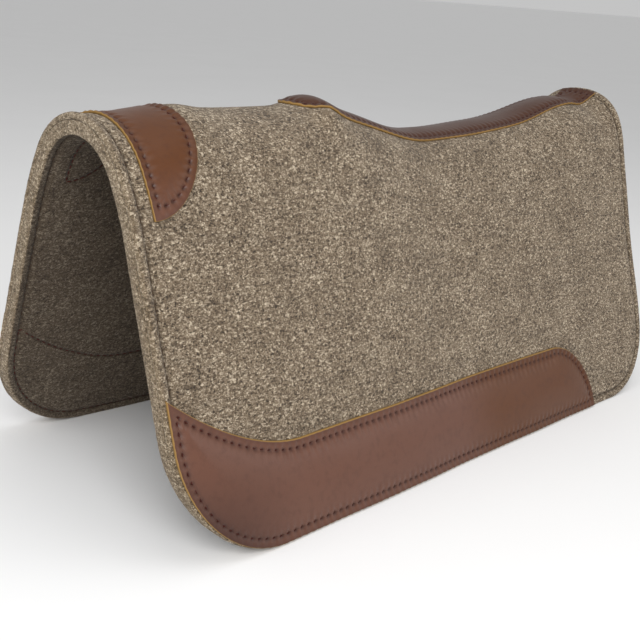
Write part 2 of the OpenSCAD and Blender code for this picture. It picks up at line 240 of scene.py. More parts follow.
def grid_faces(index):
    """Quads over a 2-D array of point indices."""
    corners = index[:-1, :-1], index[:-1, 1:], index[1:, 1:], index[1:, :-1]
    return np.stack([c.ravel() for c in corners], axis=-1)


def band_faces(first, second):
    """Quads between two closed loops of point indices."""
    return np.stack([first, np.roll(first, -1), np.roll(second, -1), second], axis=-1)


def rim_of(index):
    """The closed loop of point indices round a 2-D array."""
    return np.concatenate(
        [index[0, :-1], index[:-1, -1], index[-1, :0:-1], index[:0:-1, 0]]
    )


def facing_out(points, faces):
    """The same quads, turned over if the closed shell is inside out."""
    a, b, c, d = (points[faces[:, k]] for k in range(4))
    volume = np.einsum("ij,ij->i", a, np.cross(b, c)) + np.einsum("ij,ij->i", a, np.cross(c, d))
    return faces if volume.sum() > 0 else faces[:, ::-1]


def nearest_on(line, y, girth):
    """Distance from each point to a polyline of [y, girth], and how far along it that is."""
    line = np.asarray(line, float)
    starts, steps = line[:-1], np.diff(line, axis=0)
    lengths = np.hypot(*steps.T)
    sums = np.concatenate([[0], np.cumsum(lengths)[:-1]])
    spots = np.stack([np.ravel(y), np.ravel(girth)], axis=-1)
    best = np.full(len(spots), np.inf)
    along = np.zeros(len(spots))
    for start, step, length, run in zip(starts, steps, lengths, sums):
        if length == 0:
            continue
        t = np.clip((spots - start) @ step / length**2, 0, 1)
        gap = np.hypot(*(spots - start - t[:, None] * step).T)
        closer = gap < best
        best[closer] = gap[closer]
        along[closer] = run + t[closer] * length
    return best.reshape(np.shape(y)), along.reshape(np.shape(y))


def line_length(line):
    return float(np.hypot(*np.diff(np.asarray(line), axis=0).T).sum())


# ---------------------------------------------------------------- node trees
class Field:
    """A socket of a node tree. An operator on it adds a Math node, so sums read as sums."""

    def __init__(self, tree, socket):
        self.tree = tree
        self.socket = socket

    def sum_with(self, operation, *values):
        return self.tree.node(self.tree.maths, {"operation": operation}, dict(enumerate(values)))

    def __add__(self, other):
        return self.sum_with("ADD", self, other)

    def __radd__(self, other):
        return self.sum_with("ADD", other, self)

    def __sub__(self, other):
        return self.sum_with("SUBTRACT", self, other)

    def __rsub__(self, other):
        return self.sum_with("SUBTRACT", other, self)

    def __mul__(self, other):
        return self.sum_with("MULTIPLY", self, other)

    def __rmul__(self, other):
        return self.sum_with("MULTIPLY", other, self)

    def __rtruediv__(self, other):
        return self.sum_with("DIVIDE", other, self)

    def __abs__(self):
        return self.sum_with("ABSOLUTE", self)

    def within(self, low, high):
        """0 below low, 1 above high, smooth between."""
        values = {"Value": self, "From Min": low, "From Max": high}
        settings = {"interpolation_type": "SMOOTHSTEP"}
        return self.tree.node("ShaderNodeMapRange", settings, values)


class Tree:
    """Adds nodes to a node tree: settings first, then values or links for the sockets."""

    maths = "ShaderNodeMath"

    def __init__(self, nodes):
        self.nodes = nodes

    def node(self, kind, settings=None, values=None, output=0):
        made = self.nodes.nodes.new(kind)
        for key, setting in (settings or {}).items():
            setattr(made, key, setting)
        for key, value in (values or {}).items():
            if isinstance(value, Field):
                self.nodes.links.new(value.socket, made.inputs[key])
            else:
                made.inputs[key].default_value = value
        return Field(self, made.outputs[output]) if made.outputs else made

    def mix(self, share, first, second):
        """One colour blended into another."""
        values = {0: share, 6: first, 7: second}
        return self.node("ShaderNodeMix", {"data_type": "RGBA"}, values, output=2)

    def noise(self, place, scale, detail=2.0, roughness=0.5, distortion=0.0):
        values = {"Vector": place, "Scale": scale, "Detail": detail}
        values.update({"Roughness": roughness, "Distortion": distortion})
        return self.node("ShaderNodeTexNoise", {}, values)

    def attribute(self, name):
        return self.node("ShaderNodeAttribute", {"attribute_name": name}, output=2)

    def place(self, scale=(1, 1, 1), turn=(0, 0, 0)):
        """Object coordinates, stretched and turned."""
        where = self.node("ShaderNodeTexCoord", output=3)
        values = {"Vector": where, "Scale": scale, "Rotation": turn}
        return self.node("ShaderNodeMapping", {}, values)

    def bump(self, height, distance, strength):
        values = {"Height": height, "Distance": distance, "Strength": strength}
        return self.node("ShaderNodeBump", {}, values)


def linear(red, green, blue):
    """A colour given in 0-255 display values."""
    curve = [((c / 255 + 0.055) / 1.055) ** 2.4 if c > 10 else c / 255 / 12.92
             for c in (red, green, blue)]
    return (*curve, 1.0)


def new_material(name, paint):
    """A material whose tree is filled in by paint, which returns the shader's socket values."""
    material = bpy.data.materials.new(name)
    material.use_nodes = True
    tree = Tree(material.node_tree)
    shader = material.node_tree.nodes["Principled BSDF"]
    for key, value in paint(tree).items():
        if isinstance(value, Field):
            material.node_tree.links.new(value.socket, shader.inputs[key])
        else:
            shader.inputs[key].default_value = value
    return material


# ---------------------------------------------------------------- finishes
FIBRE_DARK = linear(52, 43, 34)
FIBRE_BROWN = linear(112, 96, 77)
FIBRE_GREY = linear(138, 124, 105)
FIBRE_PALE = linear(200, 185, 162)
CUT_TAN = linear(150, 130, 97)
# a dark brown painted on as shade: in the seam grooves, along sewn lines and over the underside
PAINTED_SHADE_BROWN = linear(48, 38, 29)


def heathered_wool(tree):
    """Pressed wool: dark, brown and pale fibres in flecks, with cut edges a little warmer and painted
    shade in seams, creases and underside.
    """
    place = tree.place()
    combed = tree.place(scale=(1, 0.5, 1), turn=(0.5, 0.2, 0.4))
    crossed = tree.place(scale=(0.5, 1, 1), turn=(0.1, 0.7, -0.5))
    fleck = tree.noise(combed, 560, detail=3, roughness=0.6, distortion=0.9)
    fleck_across = tree.noise(crossed, 500, detail=3, roughness=0.6, distortion=0.9)
    fibre = tree.noise(place, 1500, detail=2, roughness=0.7, distortion=1.5)
    cloud = tree.noise(place, 30, detail=4, roughness=0.65)
    tone = fleck * 0.5 + fleck_across * 0.4 + fibre * 0.2 + cloud * 0.1 - 0.1
    colour = tree.mix(tone.within(0.41, 0.48), FIBRE_DARK, FIBRE_BROWN)
    colour = tree.mix(tone.within(0.49, 0.55), colour, FIBRE_GREY)
    colour = tree.mix(tone.within(0.54, 0.61), colour, FIBRE_PALE)
    colour = tree.mix(tree.attribute("cut") * 0.14, colour, CUT_TAN)
    # painted shade along the edge seam's groove
    colour = tree.mix(tree.attribute("groove") * 0.6, colour, PAINTED_SHADE_BROWN)
    # painted shade over the felt's inner face, which is the same felt
    colour = tree.mix(tree.attribute("painted_underside_shade") * 0.62, colour, PAINTED_SHADE_BROWN)
    # painted shade along the leather seams sewn through to the underside, with a bump
    sewn_line = 1 - abs(tree.attribute("seam_gap")).within(0.4, 2.6)
    colour = tree.mix(sewn_line * 0.5, colour, PAINTED_SHADE_BROWN)
    # the creases are bumped in and darkened with painted shade
    crease = tree.noise(tree.place(scale=(1, 0.2, 1.3), turn=(0.4, 0, 0)), 38, detail=2)
    crease = 1 - abs(crease - 0.5).within(0, 0.035)
    nap = fibre * 0.35 + fleck * 0.4 + fleck_across * 0.25
    normal = tree.bump(nap - crease * 0.12 - sewn_line * 0.9, 0.0016, 0.9)
    return {
        "Base Color": tree.mix(crease * 0.2, colour, FIBRE_DARK),
        "Roughness": 0.93 - tone * 0.08,
        "Normal": normal,
        "Sheen Weight": 0.08,
        "Sheen Roughness": 0.6,
        "Specular IOR Level": 0.12,
    }


HIDE_TAN = linear(86, 48, 20)
HIDE_MAUVE = linear(97, 63, 49)
# a dark hide tone, for the mottle and for painted shade
HIDE_DEEP = linear(52, 27, 19)
RAW_HIDE = linear(146, 113, 60)


def oiled_leather(tree):
    """Smooth brown harness leather, tanner at the loin end and the top, with a raw cut edge, painted
    sheen and painted shade.
    """
    place = tree.place()
    cloud = tree.noise(place, 16, detail=4, roughness=0.6)
    mottle = tree.noise(place, 120, detail=3, roughness=0.6)
    pores = tree.node("ShaderNodeTexVoronoi", {"feature": "F1"}, {"Vector": place, "Scale": 950})
    wrinkle = tree.noise(tree.place(scale=(1, 0.5, 1)), 420, detail=4, roughness=0.65)
    along = tree.node("ShaderNodeSeparateXYZ", {}, {"Vector": place}, output=1)
    height = tree.node("ShaderNodeSeparateXYZ", {}, {"Vector": place}, output=2)
    # Tan at the loin end and the top, mauve at the front and low: partly the hide's own hue, partly
    # painted sheen
    tanner = along.within(-0.03, 0.07) * 0.9 + height.within(0.27, 0.33) + cloud * 0.3 - 0.15
    colour = tree.mix(tanner, HIDE_MAUVE, HIDE_TAN)
    # Painted shade: the spine strip's upward face and the lower front of the wear patches are
    # darkened
    painted_spine_shade = height.within(0.30, 0.32) * along.within(-0.19, -0.15)
    painted_low_front_shade = (1 - along.within(-0.37, -0.24)) * (1 - height.within(0.01, 0.1))
    colour = tree.mix(painted_spine_shade * 0.6 + painted_low_front_shade * 0.85, colour, HIDE_DEEP)
    colour = tree.mix(mottle.within(0.45, 0.75) * 0.2, colour, HIDE_DEEP)
    # painted shade in the stitch holes and along the rim by the cut edge
    colour = tree.mix(tree.attribute("groove"), colour, HIDE_DEEP)
    cut = tree.attribute("cut")
    colour = tree.mix(cut.within(0.3, 0.7), colour, RAW_HIDE)
    normal = tree.bump(wrinkle * 0.6 + pores * 0.4, 0.00035, 0.4)
    return {
        "Base Color": colour,
        "Roughness": 0.33 + mottle * 0.1 + cut * 0.3,
        "Normal": normal,
        "Specular IOR Level": 0.32,
    }


def waxed_thread(tree, dark, pale):
    """Waxed thread, mottled and roughened by its twist."""
    twist = tree.noise(tree.place(), 1500, detail=2, roughness=0.6)
    return {
        "Base Color": tree.mix(twist.within(0.35, 0.7), dark, pale),
        "Roughness": 0.65 + twist * 0.2,
        "Normal": tree.bump(twist, 0.0002, 0.6),
        "Specular IOR Level": 0.2,
    }


def pale_floor(tree):
    tint = tree.noise(tree.place(), 3, detail=2)
    return {
        "Base Color": tree.mix(tint, (0.86, 0.86, 0.86, 1), (0.89, 0.89, 0.89, 1)),
        "Roughness": 0.85,
        "Specular IOR Level": 0.1,
    }


wool = new_material("heathered_wool", heathered_wool)
leather = new_material("oiled_leather", oiled_leather)
leather_thread = new_material(
    "maroon_thread", lambda tree: waxed_thread(tree, linear(46, 17, 13), linear(84, 36, 27))
)
edge_thread = new_material(
    "brown_thread", lambda tree: waxed_thread(tree, linear(44, 32, 22), linear(80, 62, 45))
)
floor_finish = new_material("pale_floor", pale_floor)


# ---------------------------------------------------------------- seams, as [y, girth] lines
def across(y, start, end, gap=0.003):
    girths = np.linspace(start, end, max(2, round(abs(end - start) / gap) + 1))
    return np.stack([np.full(len(girths), y), girths], axis=-1)


def quarter_turn(steps):
    return np.linspace(0, math.pi / 2, steps + 1)


def wear_top(y):
    """Height of a wear patch's upper edge above the floor."""
    rise = WEAR_RISE * np.clip(1 - y / WEAR_RISE_LENGTH, 0, 1) ** WEAR_RISE_POWER
    turn = np.clip(1 - (WEAR_LENGTH - y) / WEAR_END_ROUND, 0, 1)
    return np.where(turn > 0, WEAR_HEIGHT * np.sqrt(1 - turn**2), WEAR_HEIGHT + rise)


def wear_bottom(y, inset=WEAR_EDGE_INSET):
    return inset + corner_rise(FRONT_CORNER - inset, np.maximum(y - inset, 0))


def wear_seam(side):
    inset = LEATHER_SEAM_INSET
    low_y = WEAR_EDGE_INSET + inset
    high_y = WEAR_LENGTH - inset
    round_start = WEAR_LENGTH - WEAR_END_ROUND
    turn = quarter_turn(30)
    y = np.concatenate([
        low_y + (FRONT_CORNER - low_y) * (1 - np.cos(turn))[:-1],
        np.linspace(FRONT_CORNER, round_start, 160)[:-1],
        high_y - (high_y - round_start) * (1 - np.sin(turn)),
    ])
    low = wear_bottom(y, low_y)
    end = np.clip((y - round_start) / (high_y - round_start), 0, 1)
    rounded = (WEAR_HEIGHT - inset) * np.sqrt(1 - end**2)
    high = np.where(end > 0, np.maximum(rounded, low), wear_top(y) - SLOPE_DRAW * inset)
    y = np.concatenate([y, y[::-1], y[:1]])
    z = np.concatenate([low, high[::-1], low[:1]])
    return np.stack([y, side * girth_at(y, z)], axis=-1)


def wither_patch_end(girth, drop=WITHER_PATCH_DROP, length=WITHER_PATCH_LENGTH):
    share = np.clip((np.abs(girth) - WITHER_PATCH_FLAT) / (drop - WITHER_PATCH_FLAT), 0, 1)
    return length * np.sqrt(1 - share**2)


def wither_seam():
    inset = LEATHER_SEAM_INSET
    drop = WITHER_PATCH_DROP - TIP_DRAW * inset
    front = WITHER_PATCH_INSET + inset
    girth = drop * np.sin(np.linspace(-math.pi / 2, math.pi / 2, 90))
    back = front + wither_patch_end(girth, drop, WITHER_PATCH_LENGTH - 2 * inset)
    return np.concatenate([np.stack([back, girth], axis=-1), across(front, drop, -drop)])


def strip_seam():
    inset = LEATHER_SEAM_INSET
    y = np.linspace(STRIP_START + inset, STRIP_END - inset, 160)
    half = strip_half(y) - inset
    left = np.stack([y, half], axis=-1)
    right = np.stack([y, -half], axis=-1)[::-1]
    rear = across(y[-1], half[-1], -half[-1])[1:-1]
    front = across(y[0], -half[0], half[0])[1:]
    return np.concatenate([left, rear, right, front])


def wither_edge_seam():
    y = EDGE_SEAM_INSET
    reach = float(girth_at(y, wear_top(y) + PATCH_CLEARANCE))
    return across(y, -reach, reach)


def loin_edge_seam(side):
    last = PAD_LENGTH - EDGE_SEAM_INSET
    turn = REAR_CORNER - EDGE_SEAM_INSET
    y = np.concatenate([
        np.linspace(WEAR_LENGTH + PATCH_CLEARANCE, last - turn, 12)[:-1],
        last - turn * (1 - np.sin(quarter_turn(30))),
    ])
    z = EDGE_SEAM_INSET + corner_rise(turn, last - y)
    hem = np.stack([y, side * girth_at(y, z)], axis=-1)
    end = side * (STRIP_REAR_HALF + PATCH_CLEARANCE)
    return np.concatenate([hem, across(last, hem[-1, 1], end)[1:]])


# ---------------------------------------------------------------- felt layers
FELT_STEP = 0.004
GRID_INSET = 0.018
GROOVE_DEPTH = 0.0026
GROOVE_WIDTH = 0.0009
GROOVE_SHOULDER = 0.0026
CORNER_POINTS = 20
OUTER_RIM_ROUND = 0.0027
INNER_RIM_ROUND = 0.0016
INNER_ROUND = 0.0009
SLIT_WIDTH = 0.0007
SLIT_RUN_IN = 0.006
CUT_FADE = 0.0022
SEAM_SHADE_WIDTH = 0.0011
SLIT_AT_EDGE = 0.02
FAR_FROM_SEAM = 99.0  # millimetres, as the seam_gap attribute is
WALL_BULGE = 0.0005
NAP = 0.00009
SPINE_LINES = (0.006, 0.0035, 0.002, 0.0011, 0.0005, 0.0)
SEWN_INSETS = (15.5, 13.5, 12, 11, 10.3, 9.7, 9.2, 8.8, 8.3, 7.7, 7, 6.1, 5.2, 4.4, 3.6,
               2.9, 2.2, 1.6, 1.05, 0.6, 0.25, 0)
PLAIN_INSETS = (12, 6, 3, 1.5, 0.9, 0.5, 0.2, 0)


def edge_groove(inset):
    """How far the edge seam draws the felt in, at a distance inside the border."""
    off = inset - EDGE_SEAM_INSET
    return GROOVE_DEPTH * (0.55 * bell(off, GROOVE_WIDTH) + 0.45 * bell(off, GROOVE_SHOULDER))


def rounding(radius, inset):
    reach = np.clip(inset, 0, radius)
    return radius - np.sqrt(radius**2 - (radius - reach) ** 2)


def corner_arc(radius, start, end, at_loin):
    """Part of a flap's rounded lower corner; an angle of 0 is where it leaves the end edge."""
    angle = np.linspace(start, end, CORNER_POINTS)
    reach = radius * (1 - np.cos(angle))
    y = PAD_LENGTH - reach if at_loin else reach
    return np.stack([y, girth_at(y, radius * (1 - np.sin(angle)))], axis=-1)


def end_edge(radius, at_loin):
    """An end of the pad, from the middle of its left corner to the middle of its right one."""
    arc = corner_arc(radius, math.pi / 4, 0, at_loin)
    straight = np.concatenate([np.linspace(arc[-1, 1], SPINE_LINES[0], 76)[1:], SPINE_LINES[1:]])
    half = np.concatenate([arc, np.stack([np.full(len(straight), arc[-1, 0]), straight], axis=-1)])
    return np.concatenate([half, half[-2::-1] * (1, -1)])


def lower_edge():
    """The left flap's lower edge, between the middles of its two corners."""
    front = corner_arc(FRONT_CORNER, math.pi / 4, math.pi / 2, False)
    rear = corner_arc(REAR_CORNER, math.pi / 2, math.pi / 4, True)
    steps = round((rear[0, 0] - front[-1, 0]) / FELT_STEP)
    y = np.linspace(front[-1, 0], rear[0, 0], steps + 1)[1:-1]
    return np.concatenate([front, np.stack([y, girth_at(y, 0)], axis=-1), rear])


def felt_border():
    """The border as one closed loop, and the numbers of points across and along the pad."""
    front = end_edge(FRONT_CORNER, False)
    rear = end_edge(REAR_CORNER, True)
    left = lower_edge()
    right = left * (1, -1)
    loop = np.concatenate([front[:-1], right[:-1], rear[:0:-1], left[:0:-1]])
    return loop, len(front), len(left)


def drawn_in(loop, inset):
    """A closed loop moved inwards by the inset."""
    tangent = np.roll(loop, -1, axis=0) - np.roll(loop, 1, axis=0)
    tangent = tangent / np.hypot(*tangent.T)[:, None]
    turned = np.stack([-tangent[:, 1], tangent[:, 0]], axis=-1)
    middle = loop.mean(axis=0)
    if ((middle - loop) * turned).sum() < 0:
        turned = -turned
    return loop + turned * inset


def filled(loop, across_count, along_count):
    """Grid of points that fills a closed loop, blended from its four sides."""
    a, b = across_count - 1, along_count - 1
    closed = np.concatenate([loop, loop[:1]])
    front = closed[: a + 1]
    right = closed[a : a + b + 1]
    rear = closed[a + b : 2 * a + b + 1][::-1]
    left = closed[2 * a + b :][::-1]

    def shares(side):
        run = np.concatenate([[0], np.cumsum(np.hypot(*np.diff(side, axis=0).T))])
        return run / run[-1]

    s = ((shares(front) + shares(rear)) / 2)[None, :, None]
    t = ((shares(left) + shares(right)) / 2)[:, None, None]
    ends = (1 - t) * front[None] + t * rear[None]
    sides = (1 - s) * left[:, None] + s * right[:, None]
    corners = (1 - s) * (1 - t) * front[0] + s * (1 - t) * front[-1]
    corners = corners + (1 - s) * t * rear[0] + s * t * rear[-1]
    return ends + sides - corners


def inside_loop(loop, y, girth):
    """Which points lie inside a closed line of [y, girth]."""
    inside = np.zeros(np.shape(y), bool)
    for (y0, g0), (y1, g1) in zip(loop[:-1], loop[1:]):
        if g0 == g1:
            continue
        crosses = (girth < g0) != (girth < g1)
        inside ^= crosses & (y < y0 + (girth - g0) / (g1 - g0) * (y1 - y0))
    return inside


def dart_slit(y, girth):
    return DART_SLIT * bell(girth, SLIT_WIDTH) * ease((y - DART_REACH) / SLIT_RUN_IN)


def felt_layer(name, outer, inner, outer_sewn, inner_sewn, seams=()):
    """One felt layer: both faces, a rounded border, and its sewn groove where it shows."""
    loop, across_count, along_count = felt_border()
    grid = filled(drawn_in(loop, GRID_INSET), across_count, along_count)
    shaker = np.random.default_rng(5)
    points = []
    # the groove and the underside values hold painted shade
    shades = {key: [] for key in ("cut", "groove", "painted_underside_shade", "seam_gap")}

    def add(y, girth, depth, *given):
        placed = skin(y, girth, depth).reshape(-1, 3)
        points.append(placed + shaker.normal(0, NAP, placed.shape))
        for values, value in zip(shades.values(), given):
            values.append(np.broadcast_to(value, np.shape(y)).ravel())
        start = sum(map(len, points[:-1]))
        return np.arange(start, start + len(placed))

    def face(depth, inwards, sewn):
        y, girth = grid[..., 0], grid[..., 1]
        sink = dart_slit(y, girth) + (edge_groove(GRID_INSET) if sewn else 0)
        gap = np.full(y.shape, FAR_FROM_SEAM)
        for line in seams if inwards < 0 else ():
            away = nearest_on(line, y, girth)[0] * 1000
            signed = np.where(inside_loop(line, y, girth), -away, away)
            gap = np.where(np.abs(signed) < np.abs(gap), signed, gap)
        # painted shade on the inner face
        painted_underside_shade = 1.0 if inwards < 0 else 0.0
        index = add(y, girth, depth + inwards * sink, 0.0, 0.0, painted_underside_shade, gap)
        return index.reshape(y.shape)

    def ring(inset, depth, cut=0.0, groove=0.0, painted_underside_shade=0.0):
        border = drawn_in(loop, inset)
        y, girth = border.T
        notch = dart_slit(y, girth) * (y > PAD_LENGTH - SLIT_AT_EDGE)
        return add(y - notch, girth, depth, cut, groove, painted_underside_shade, FAR_FROM_SEAM)

    def rings(depth, inwards, sewn, radius):
        made = []
        for inset in np.array(SEWN_INSETS if sewn else PLAIN_INSETS) / 1000:
            sink = rounding(radius, inset) + (edge_groove(inset) if sewn else 0)
            cut = 1 - ease(inset / CUT_FADE)
            # painted shade along the edge seam's groove, and over the inner face's rim
            painted_groove_shade = bell(inset - EDGE_SEAM_INSET, SEAM_SHADE_WIDTH) if sewn else 0.0
            painted_underside_shade = (1 - cut) * (inwards < 0)
            made.append(ring(inset, depth + inwards * sink, cut, painted_groove_shade, painted_underside_shade))
        return made

    outer_round = OUTER_RIM_ROUND if outer_sewn else INNER_ROUND
    inner_round = INNER_RIM_ROUND if inner_sewn else INNER_ROUND
    outer_face = face(outer, 1, outer_sewn)
    loops = [rim_of(outer_face), *rings(outer, 1, outer_sewn, outer_round)]
    top_wall, low_wall = outer + outer_round, inner - inner_round
    for share in (0.25, 0.5, 0.75):
        bulge = -WALL_BULGE * math.sin(math.pi * share)
        loops.append(ring(bulge, blend(top_wall, low_wall, share), 1.0))
    loops += rings(inner, -1, inner_sewn, inner_round)[::-1]
    inner_face = face(inner, -1, inner_sewn)
    loops.append(rim_of(inner_face))

    faces = [grid_faces(outer_face), grid_faces(inner_face)[:, ::-1]]
    faces += [band_faces(second, first) for first, second in zip(loops, loops[1:])]
    points = np.concatenate(points)
    faces = facing_out(points, np.concatenate(faces))
    shades = {key: np.concatenate(values) for key, values in shades.items()}
    return make_piece(name, points, faces.tolist(), wool, **shades)


# ---------------------------------------------------------------- leather patches
FINE_EDGE = np.array([0, 0.2, 0.5, 0.9, 1.5, 2.3, 3.2, 4.1, 4.9, 5.6, 6.2, 6.7, 7.1, 7.6,
                      8.3, 9.2, 10.4, 12, 14]) / 1000
DOME = 0.0019
WEAR_DOME = 0.0050
STRIP_DOME = 0.0008
DOME_SPREAD = 0.017
PINCH_DEPTH = 0.0011
PINCH_WIDTH = 0.0009
PULL_DEPTH = 0.0008
PULL_WIDTH = 0.0026
RIPPLE = 0.0005
RIPPLE_OFFSET = 0.003
RIPPLE_WIDTH = 0.0034
EDGE_ROUND = 0.0009
LIP = 0.00025
RAW_EDGE_WIDTH = 0.0006
HOLE_SHADE_WIDTH = 0.0014
FINE_ENDS = 2.6  # the finely stepped ends take at most one length in this many each


def graded(lengths, middle_steps):
    """Positions along each length, close together near both ends."""
    lengths = np.asarray(lengths, float)[:, None]
    fine = FINE_EDGE[None] * np.minimum(1, lengths / (FINE_ENDS * FINE_EDGE[-1]))
    share = np.linspace(0, 1, middle_steps + 1)[None, 1:-1]
    low_end, high_end = fine[:, -1:], lengths - fine[:, -1:]
    return np.concatenate([fine, blend(low_end, high_end, share), lengths - fine[:, ::-1]], axis=1)


def stitch_count(line, pitch=STITCH_PITCH):
    return math.ceil(line_length(line) / pitch)


def leather_patch(name, y, girth, seam, fullness=DOME):
    """A plate on the felt, domed inside its seam and pinched at each stitch, and its flat area."""
    rim = np.concatenate([rim_of(np.arange(y.size).reshape(y.shape)), [0]])
    outline = np.stack([y.ravel(), girth.ravel()], axis=-1)[rim]
    edge_gap, _ = nearest_on(outline, y, girth)
    seam_gap, along = nearest_on(seam, y, girth)
    beat = np.cos(2 * math.pi * (along / line_length(seam) * stitch_count(seam) - 0.5))
    swollen = fullness * (1 - np.exp(-seam_gap / DOME_SPREAD))
    dome = np.where(inside_loop(seam, y, girth), swollen, 0)
    pinch = PINCH_DEPTH * bell(seam_gap, PINCH_WIDTH) * (0.45 + 0.55 * beat)
    pull = PULL_DEPTH * bell(seam_gap, PULL_WIDTH)
    ripple = RIPPLE * beat * bell(seam_gap - RIPPLE_OFFSET, RIPPLE_WIDTH)
    height = LEATHER_SEAT + LEATHER_THICKNESS + dome - pinch - pull - ripple
    height = height - rounding(EDGE_ROUND, edge_gap)

    top = skin(y, girth, -height).reshape(-1, 3)
    lip = skin(outline[:-1, 0], outline[:-1, 1], -height.ravel()[rim[:-1]] + LIP)
    under = skin(y, girth, -LEATHER_SEAT).reshape(-1, 3)
    top_index = np.arange(y.size).reshape(y.shape)
    lip_index = y.size + np.arange(len(lip))
    under_index = top_index + y.size + len(lip)
    points = np.concatenate([top, lip, under])
    faces = np.concatenate([
        grid_faces(top_index),
        band_faces(lip_index, rim_of(top_index)),
        band_faces(rim_of(under_index), lip_index),
        grid_faces(under_index)[:, ::-1],
    ])
    cut = np.concatenate([0.7 * bell(edge_gap, RAW_EDGE_WIDTH).ravel(), np.ones(len(lip) + y.size)])
    # Painted shade: the stitch holes and the rim between the cut edge and the seam are darkened
    dark = bell(seam_gap, HOLE_SHADE_WIDTH) * (0.5 + 0.5 * beat)
    dark = dark + 0.4 * (1 - ease((edge_gap + 0.001) / LEATHER_SEAM_INSET))
    groove = np.concatenate([dark.ravel(), np.zeros(len(lip) + y.size)])
    piece = make_piece(
        name, points, facing_out(points, faces).tolist(), leather, cut=cut, groove=groove
    )
    return piece, float(loop_area(outline))


def loop_area(loop):
    y, girth = loop.T
    return abs((y[:-1] * girth[1:] - y[1:] * girth[:-1]).sum()) / 2


def wear_patch(name, side):
    turn = quarter_turn(64)
    arc = WEAR_EDGE_INSET + (FRONT_CORNER - WEAR_EDGE_INSET) * (1 - np.cos(turn))
    round_start = WEAR_LENGTH - WEAR_END_ROUND
    y = np.concatenate([
        arc[:-1],
        np.linspace(FRONT_CORNER, round_start, 270)[:-1],
        WEAR_LENGTH - WEAR_END_ROUND * (1 - np.sin(quarter_turn(60))),
    ])
    low = wear_bottom(y)
    high = np.maximum(wear_top(y), low + LEAST_WIDTH)
    z = low[:, None] + graded(high - low, 18)
    y = np.broadcast_to(y[:, None], z.shape)
    return leather_patch(name, y, side * girth_at(y, z), wear_seam(side), WEAR_DOME)


def wither_patch(name):
    girth = WITHER_PATCH_DROP * np.sin(np.linspace(-math.pi / 2, math.pi / 2, 190))
    length = np.maximum(wither_patch_end(girth), LEAST_WIDTH)
    y = WITHER_PATCH_INSET + graded(length, 14)
    return leather_patch(name, y, np.broadcast_to(girth[:, None], y.shape), wither_seam())


def spine_strip(name):
    y = STRIP_START + graded([STRIP_END - STRIP_START], 270)[0]
    half = strip_half(y)
    girth = graded(2 * half, 14) - half[:, None]
    y = np.broadcast_to(y[:, None], girth.shape)
    return leather_patch(name, y, girth, strip_seam(), STRIP_DOME)


def seat_piece(piece, node):
    """The piece moves with the pad's one body and is shown in place of its CAD node."""
    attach(piece, "root")
    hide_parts(node)


# ---------------------------------------------------------------- stitches
def stitch_tree():
    """Lays stitches along a line: each a bent thread that dives into the hide at both ends."""
    group = bpy.data.node_groups.new("stitches_on_a_line", "GeometryNodeTree")
    sockets = (
        ("Line", "NodeSocketGeometry"),
        ("Stitches", "NodeSocketInt"),
        ("Stitch Length", "NodeSocketFloat"),
        ("Thread", "NodeSocketFloat"),
        ("Dive", "NodeSocketFloat"),
        ("Finish", "NodeSocketMaterial"),
    )
    for name, kind in sockets:
        group.interface.new_socket(name, in_out="INPUT", socket_type=kind)
    group.interface.new_socket("Stitches", in_out="OUTPUT", socket_type="NodeSocketGeometry")
    tree = Tree(group)
    given = group.nodes.new("NodeGroupInput")
    line, count, length, thread, dive, finish = (
        Field(tree, given.outputs[k]) for k in range(len(sockets))
    )
    half_share = 0.5 / count
    path = tree.node("GeometryNodeMeshToCurve", {}, {0: line})
    trimmed = tree.node("GeometryNodeTrimCurve", {"mode": "FACTOR"},
                        {0: path, "Start": half_share, "End": 1 - half_share})
    spots = tree.node("GeometryNodeResampleCurve", {"mode": "COUNT"},
                      {"Curve": trimmed, "Count": count})

    def point(x, z):
        return tree.node("ShaderNodeCombineXYZ", {}, {"X": x, "Z": z})

    bend = tree.node(
        "GeometryNodeCurveQuadraticBezier", {},
        {"Resolution": 6, "Start": point(length * -0.5, dive * -1),
         "Middle": point(0.0, dive), "End": point(length * 0.5, dive * -1)},
    )
    round_section = tree.node("GeometryNodeCurvePrimitiveCircle", {"mode": "RADIUS"},
                              {"Resolution": 6, "Radius": thread * 0.5})
    stitch = tree.node("GeometryNodeCurveToMesh", {},
                       {"Curve": bend, "Profile Curve": round_section, "Fill Caps": True})
    tangent = tree.node("GeometryNodeInputTangent")
    up = tree.node("GeometryNodeInputNamedAttribute", {"data_type": "FLOAT_VECTOR"},
                   {"Name": "up"})
    turn = tree.node("FunctionNodeAlignRotationToVector", {"axis": "X"}, {"Vector": tangent})
    turn = tree.node("FunctionNodeAlignRotationToVector", {"axis": "Z", "pivot_axis": "X"},
                     {"Rotation": turn, "Vector": up})
    laid = tree.node("GeometryNodeInstanceOnPoints", {},
                     {"Points": spots, "Instance": stitch, "Rotation": turn})
    real = tree.node("GeometryNodeRealizeInstances", {}, {0: laid})
    smooth = tree.node("GeometryNodeSetShadeSmooth", {}, {0: real})
    done = tree.node("GeometryNodeSetMaterial", {}, {"Geometry": smooth, "Material": finish})
    end = group.nodes.new("NodeGroupOutput")
    group.links.new(done.socket, end.inputs[0])
    return group


stitches_on_a_line = stitch_tree()


def thread_line(name, points, up):
    """An object that holds a line for the stitches to follow, with the face's own up."""
    mesh = bpy.data.meshes.new(name)
    mesh.from_pydata(points.tolist(), [(k, k + 1) for k in range(len(points) - 1)], [])
    layer = mesh.attributes.new("up", "FLOAT_VECTOR", "POINT")
    layer.data.foreach_set("vector", up.astype(np.float32).ravel())
    piece = bpy.data.objects.new(name, mesh)
    bpy.context.scene.collection.objects.link(piece)
    return piece


